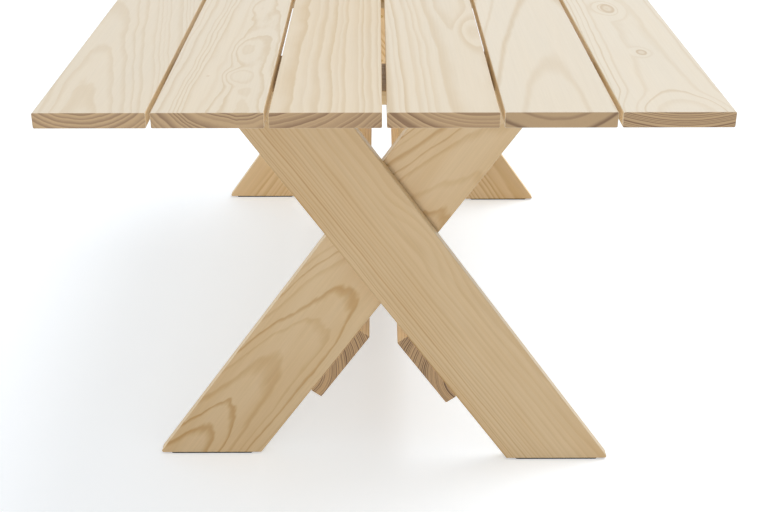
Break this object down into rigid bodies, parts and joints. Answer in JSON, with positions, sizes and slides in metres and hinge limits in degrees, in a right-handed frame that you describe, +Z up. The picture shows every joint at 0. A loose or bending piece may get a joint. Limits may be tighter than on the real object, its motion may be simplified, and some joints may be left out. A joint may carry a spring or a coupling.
{
  "type": "sawbuck table",
  "caption": "Dining table of pale pine boards with open joints, on crossed sawbuck legs tied by sloping stretchers, with cross battens under the top and dark glides.",
  "frame": {"origin": "on the floor under the middle of the top", "axes": "+Z up, +Y along the table's length from the front end to the rear, +X across it to the right seen from the front"},
  "size_m": [0.894, 1.8, 0.74],
  "materials": {
    "top_pine": "clear matt lacquer",
    "frame_pine": "clear matt lacquer",
    "glide_plastic": "moulded",
    "zinc_steel": "zinc plated"
  },
  "bodies": {
    "root": {"top_plank_1": "top_pine", "top_plank_2": "top_pine", "top_plank_3": "top_pine", "top_plank_4": "top_pine", "top_plank_5": "top_pine", "top_plank_6": "top_pine", "front_batten": "frame_pine", "rear_batten": "frame_pine", "centre_rail": "frame_pine", "left_stretcher": "frame_pine", "right_stretcher": "frame_pine", "front_outer_leg": "frame_pine", "front_inner_leg": "frame_pine", "rear_outer_leg": "frame_pine", "rear_inner_leg": "frame_pine", "front_outer_glide": "glide_plastic", "front_inner_glide": "glide_plastic", "rear_outer_glide": "glide_plastic", "rear_inner_glide": "glide_plastic", "front_outer_bracket": "zinc_steel", "front_inner_bracket": "zinc_steel", "rear_outer_bracket": "zinc_steel", "rear_inner_bracket": "zinc_steel", "front_batten_screws": "zinc_steel", "rear_batten_screws": "zinc_steel", "centre_rail_screws": "zinc_steel", "crossing_screws": "zinc_steel", "stretcher_screws": "zinc_steel", "bracket_screws": "zinc_steel"}
  },
  "joints": []
}
